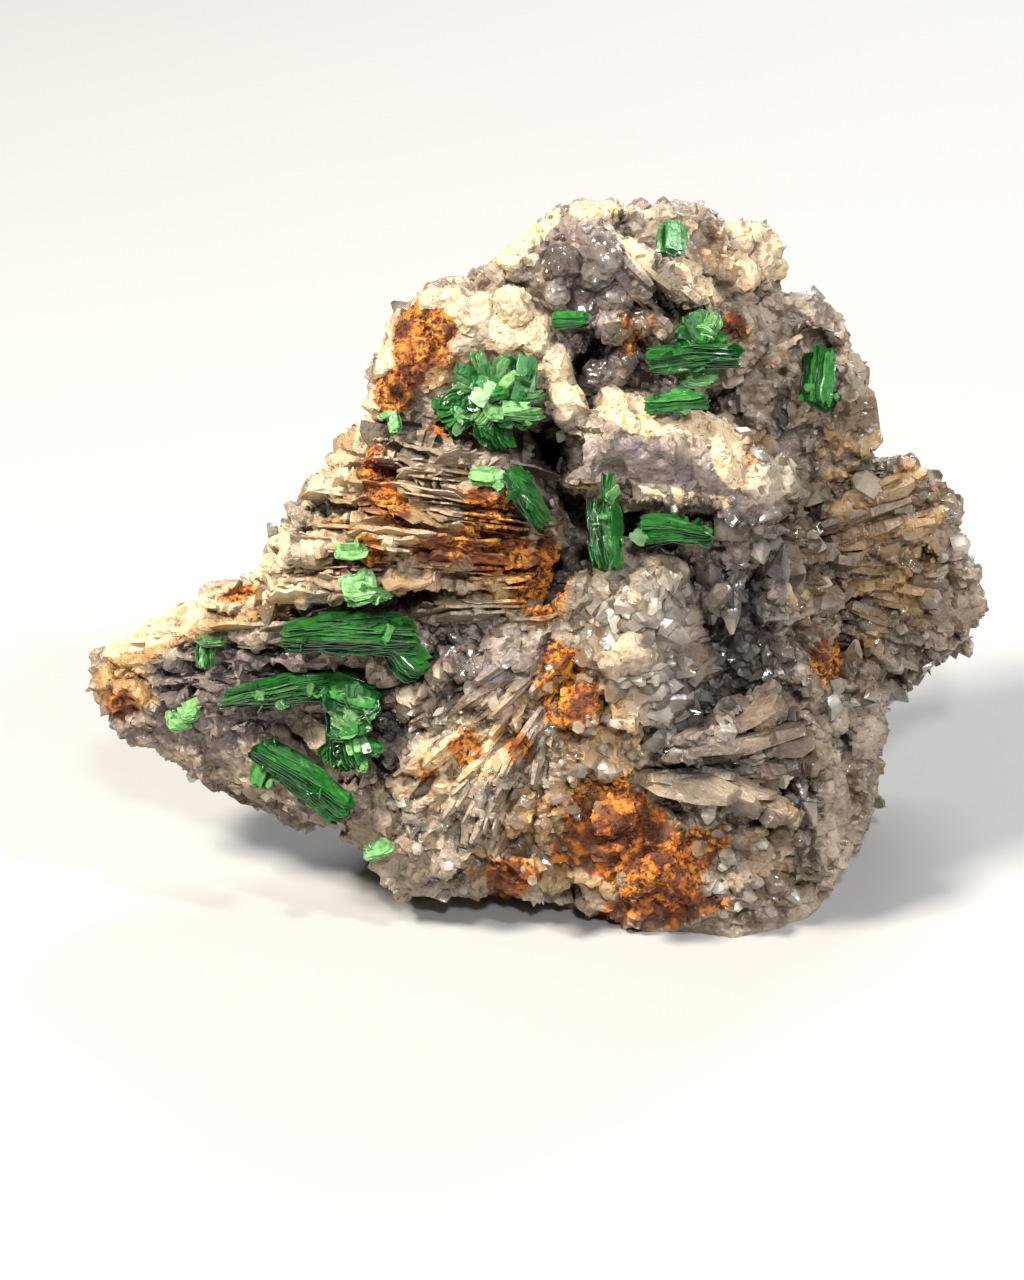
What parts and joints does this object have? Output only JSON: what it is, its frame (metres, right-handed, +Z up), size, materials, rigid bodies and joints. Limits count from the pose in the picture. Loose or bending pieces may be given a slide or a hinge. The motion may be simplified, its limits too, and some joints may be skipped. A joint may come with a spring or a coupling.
{
  "type": "torbernite specimen",
  "caption": "Hand-sized mineral specimen: a bladed quartz rock with rust-stained hollows and books of thin green torbernite plates on its face, resting on a flat base.",
  "frame": {"origin": "middle of the specimen's box, at the height of the surface that it rests on", "axes": "+Z up from the base, -Y towards the viewer of the face, +X to the right of the face and along the longest side"},
  "size_m": [0.0488, 0.0276, 0.0382],
  "materials": {
    "quartz": "rough cream and grey-violet quartz, sparkling on fresh faces, with earthy orange-brown limonite in its hollows",
    "torbernite": "emerald green mica-like plates with a pearly sheen, dark between the plates and pale at thin edges"
  },
  "bodies": {
    "root": {"quartz_matrix": "quartz", "torbernite_upper_left_rosette": "torbernite", "torbernite_upper_right_book": "torbernite", "torbernite_upper_right_blade": "torbernite", "torbernite_middle_sheaf": "torbernite", "torbernite_hollow_upright_book": "torbernite", "torbernite_hollow_sheaf": "torbernite", "torbernite_lower_left_book": "torbernite", "torbernite_lower_left_rosette": "torbernite", "torbernite_lower_left_sheaf": "torbernite", "torbernite_step_plate": "torbernite", "torbernite_step_rosette": "torbernite", "torbernite_wing_stub": "torbernite", "torbernite_wing_pair": "torbernite", "torbernite_edge_plate": "torbernite", "torbernite_lower_edge_plate": "torbernite", "torbernite_nodule_plate": "torbernite", "torbernite_crest_crystal": "torbernite", "torbernite_far_book": "torbernite"}
  },
  "joints": []
}
